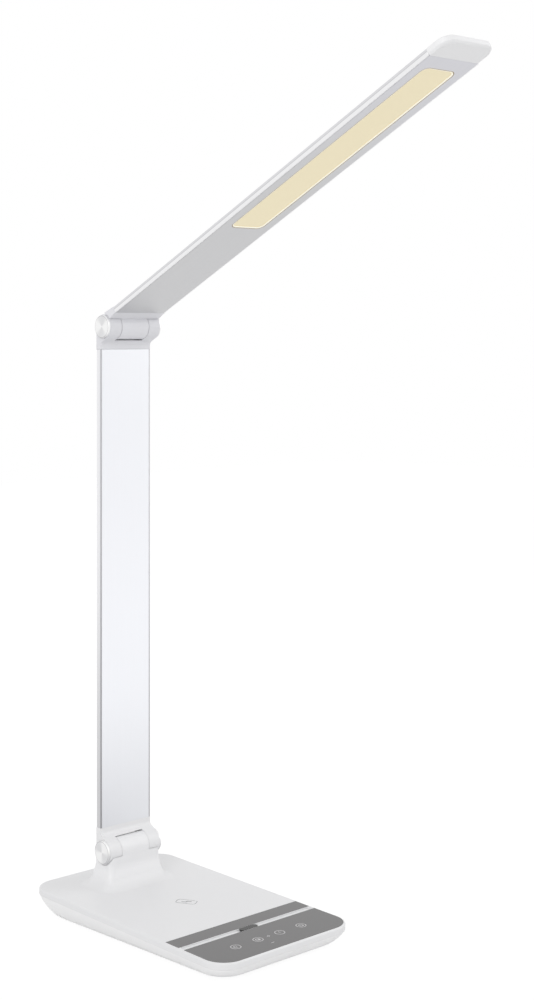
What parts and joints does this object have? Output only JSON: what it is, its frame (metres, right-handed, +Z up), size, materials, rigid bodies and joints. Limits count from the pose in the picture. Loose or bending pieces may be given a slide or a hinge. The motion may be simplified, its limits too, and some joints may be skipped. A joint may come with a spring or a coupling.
{
  "type": "desk lamp",
  "caption": "Folding desk lamp with a flat charging base, an upright blade arm and a blade head with an edge-lit panel, joined by two friction hinges.",
  "frame": {"origin": "middle of the rubber pad's underside, where the lamp stands on the desk", "axes": "+Z up; -Y the front, where the touch panel is and the head reaches; +X to the right when looking along +Y, along both hinge axes"},
  "size_m": [0.1092, 0.3511, 0.5274],
  "materials": {
    "white_plastic": "satin",
    "hull_plastic": "satin",
    "grey_plastic": "satin",
    "white_aluminium": "satin",
    "cover_aluminium": "satin",
    "underside_aluminium": "satin",
    "spun_cap": "satin",
    "bright_steel": "satin",
    "weight_steel": "matte",
    "spring_brass": "satin",
    "pad_rubber": "matte",
    "smoked_panel": "gloss",
    "window_smoke": "gloss",
    "board_green": "satin",
    "coil_copper": "satin",
    "ferrite_grey": "matte",
    "component_black": "matte",
    "warm_lens": "satin",
    "clear_guide": "gloss",
    "reflector_white": "matte",
    "led_yellow": "satin"
  },
  "bodies": {
    "base": {"base_top_shell": "white_plastic", "base_bottom_shell": "hull_plastic", "counterweight": "weight_steel", "rubber_pad": "pad_rubber", "base_screws": "bright_steel", "touch_panel": "smoked_panel", "rear_trim_strip": "smoked_panel", "status_window": "window_smoke", "touch_board": "board_green", "touch_springs": "bright_steel", "charging_coil": "coil_copper", "coil_ferrite": "ferrite_grey", "power_board": "board_green", "board_components": "component_black", "dc_inlet": "component_black", "lower_bushes": "spring_brass"},
    "arm": {"arm_profile": "white_aluminium", "arm_cover": "cover_aluminium", "arm_wire": "component_black", "lower_fork": "white_plastic", "upper_fork": "grey_plastic", "fork_screws": "bright_steel", "lower_axle": "bright_steel", "upper_axle": "bright_steel", "lower_washers": "spring_brass", "upper_washers": "spring_brass", "lower_lock_nut": "bright_steel", "upper_lock_nut": "bright_steel", "lower_cap_left": "spun_cap", "lower_cap_right": "spun_cap", "upper_cap_left": "spun_cap", "upper_cap_right": "spun_cap"},
    "head": {"upper_bushes": "spring_brass", "head_knuckle": "grey_plastic", "head_profile": "white_aluminium", "head_cover": "underside_aluminium", "diffuser": "warm_lens", "light_guide": "clear_guide", "reflector": "reflector_white", "led_strips": "reflector_white", "led_chips": "led_yellow", "head_screws": "bright_steel", "head_end_cap": "white_plastic"}
  },
  "joints": [
    {"name": "lower_hinge", "type": "hinge", "parent": "base", "child": "arm", "pos_m": [0, 0.06078, 0.03986], "axis": [1, 0, 0], "range_deg": [0, 90]},
    {"name": "upper_hinge", "type": "hinge", "parent": "arm", "child": "head", "pos_m": [0, 0.04916, 0.38467], "axis": [1, 0, 0], "range_deg": [-34, 116]}
  ]
}
